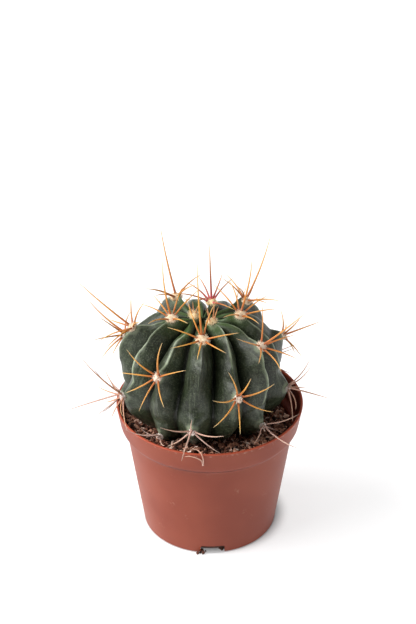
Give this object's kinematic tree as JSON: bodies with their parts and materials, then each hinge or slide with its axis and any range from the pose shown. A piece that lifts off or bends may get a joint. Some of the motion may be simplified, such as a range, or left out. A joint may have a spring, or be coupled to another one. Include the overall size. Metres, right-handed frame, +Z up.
{
  "type": "potted barrel cactus",
  "caption": "Small round ribbed barrel cactus (Ferocactus echidne) with long tan spines, in soil in a round terracotta-coloured plastic nursery pot.",
  "frame": {"origin": "centre of the pot's flat underside, on the surface it stands on", "axes": "+Z up along the pot's axis; -Y is the front, the side that the picture shows; +X is to the right seen from the front"},
  "size_m": [0.121, 0.1242, 0.1431],
  "materials": {
    "pot_plastic": "terracotta-coloured moulded plastic, satin",
    "potting_soil": "coarse dark peat and bark crumbs, dull",
    "stem_skin": "waxy dark blue-green skin, satin",
    "areole_wool": "cream felted hairs, dull",
    "spine_tan": "orange tan, smooth and slightly glossy",
    "spine_young": "reddish tan with crimson roots, slightly glossy",
    "spine_old": "faded pinkish grey, dull"
  },
  "bodies": {
    "root": {"pot": "pot_plastic", "soil": "potting_soil", "stem": "stem_skin", "spines_01": "spine_young", "spines_02": "spine_young", "spines_03": "spine_young", "spines_04": "spine_tan", "spines_05": "spine_tan", "spines_06": "spine_tan", "spines_07": "spine_tan", "spines_08": "spine_tan", "spines_09": "spine_tan", "spines_10": "spine_tan", "spines_11": "spine_tan", "spines_12": "spine_tan", "spines_13": "spine_tan", "spines_14": "spine_tan", "spines_15": "spine_tan", "spines_16": "spine_tan", "spines_17": "spine_old", "spines_18": "spine_old", "spines_19": "spine_old", "spines_20": "spine_old", "spines_21": "spine_old", "spines_22": "spine_old", "spines_23": "spine_old", "spines_24": "spine_old", "spines_25": "spine_old", "wool_01": "areole_wool", "wool_02": "areole_wool", "wool_03": "areole_wool", "wool_04": "areole_wool", "wool_05": "areole_wool", "wool_06": "areole_wool", "wool_07": "areole_wool", "wool_08": "areole_wool", "wool_09": "areole_wool", "wool_10": "areole_wool", "wool_11": "areole_wool", "wool_12": "areole_wool", "wool_13": "areole_wool", "wool_14": "areole_wool", "wool_15": "areole_wool", "wool_16": "areole_wool", "wool_17": "areole_wool", "wool_18": "areole_wool", "wool_19": "areole_wool", "wool_20": "areole_wool", "wool_21": "areole_wool", "wool_22": "areole_wool", "wool_23": "areole_wool", "wool_24": "areole_wool", "wool_25": "areole_wool"}
  },
  "joints": []
}
